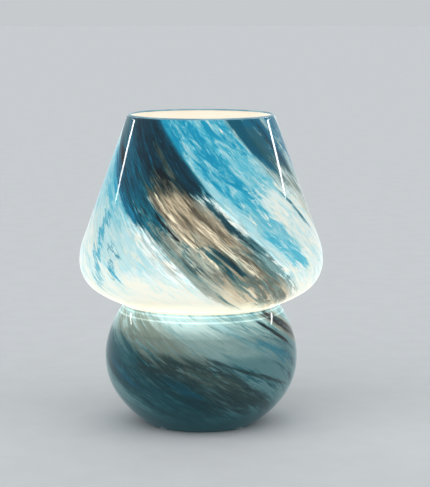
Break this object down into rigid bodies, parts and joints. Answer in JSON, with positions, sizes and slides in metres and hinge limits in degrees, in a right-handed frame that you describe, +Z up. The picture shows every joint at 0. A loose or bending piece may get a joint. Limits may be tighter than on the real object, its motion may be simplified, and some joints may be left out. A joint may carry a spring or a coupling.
{
  "type": "mushroom table lamp",
  "caption": "Mushroom table lamp in one piece of swirled blown glass, with an open cone shade, a globe base and a screw-in bulb held in its waist by a sprung bracket.",
  "frame": {"origin": "on the table under the lamp's axis, in the plane of the foot pads", "axes": "+Z up along the lamp's axis, -Y to the front, +Y to the back where the cord outlet is"},
  "size_m": [0.1958, 0.1958, 0.25],
  "materials": {
    "blown_glass": "cased blown glass, glossy outside, opal inside",
    "clear_bumper": "clear soft bumper",
    "black_rubber": "moulded rubber",
    "zinc_plated_steel": "pressed and zinc plated",
    "spring_steel": "bright strip",
    "boot_silicone": "translucent silicone",
    "rivet_aluminium": "set rivet",
    "holder_plastic": "moulded thermoplastic",
    "fibre_washer": "pressed fibre",
    "insert_ceramic": "glazed heat-proof insert",
    "contact_brass": "stamped",
    "screw_steel": "turned",
    "cap_nickel": "nickel plated, satin",
    "insulator_black": "vitrified",
    "solder_tip": "tinned",
    "bulb_plastic": "moulded",
    "opal_diffuser": "opal polycarbonate, lit",
    "board_aluminium": "white solder mask",
    "led_phosphor": "phosphor, lit",
    "board_green": "solder mask",
    "capacitor_sleeve": "shrink sleeve"
  },
  "bodies": {
    "root": {"glass_body": "blown_glass", "foot_pad_1": "clear_bumper", "foot_pad_2": "clear_bumper", "foot_pad_3": "clear_bumper", "foot_pad_4": "clear_bumper", "cord_grommet": "black_rubber", "bracket": "zinc_plated_steel", "spring_clip_1": "spring_steel", "spring_clip_2": "spring_steel", "spring_clip_3": "spring_steel", "arm_boot_1": "boot_silicone", "arm_boot_2": "boot_silicone", "arm_boot_3": "boot_silicone", "toe_sleeve_1": "boot_silicone", "toe_sleeve_2": "boot_silicone", "toe_sleeve_3": "boot_silicone", "clip_rivet_1": "rivet_aluminium", "clip_rivet_2": "rivet_aluminium", "clip_rivet_3": "rivet_aluminium", "holder_shell": "holder_plastic", "shade_ring": "holder_plastic", "holder_cap": "holder_plastic", "holder_washer": "fibre_washer", "holder_insert": "insert_ceramic", "screw_shell": "contact_brass", "centre_contact": "contact_brass", "terminal_block_1": "contact_brass", "terminal_block_2": "contact_brass", "terminal_screw_1": "screw_steel", "terminal_screw_2": "screw_steel"},
    "bulb_lift": {"cap_contact": "solder_tip"},
    "bulb": {"bulb_cap": "cap_nickel", "cap_insulator": "insulator_black", "bulb_housing": "bulb_plastic", "led_board": "board_aluminium", "led_chips": "led_phosphor", "driver_board": "board_green", "driver_capacitor": "capacitor_sleeve", "bulb_globe": "opal_diffuser"}
  },
  "joints": [
    {"name": "bulb_rise", "type": "slide", "parent": "root", "child": "bulb_lift", "axis": [0, 0, 1], "range_m": [0, 0.0085]},
    {"name": "bulb_turn", "type": "hinge", "parent": "bulb_lift", "child": "bulb", "pos_m": [0, 0, 0.08], "axis": [0, 0, 1], "range_deg": [0, 1080]}
  ],
  "couplings": [
    {"joint": "bulb_rise", "follows": "bulb_turn", "m_per_rad": 0.00044913}
  ]
}
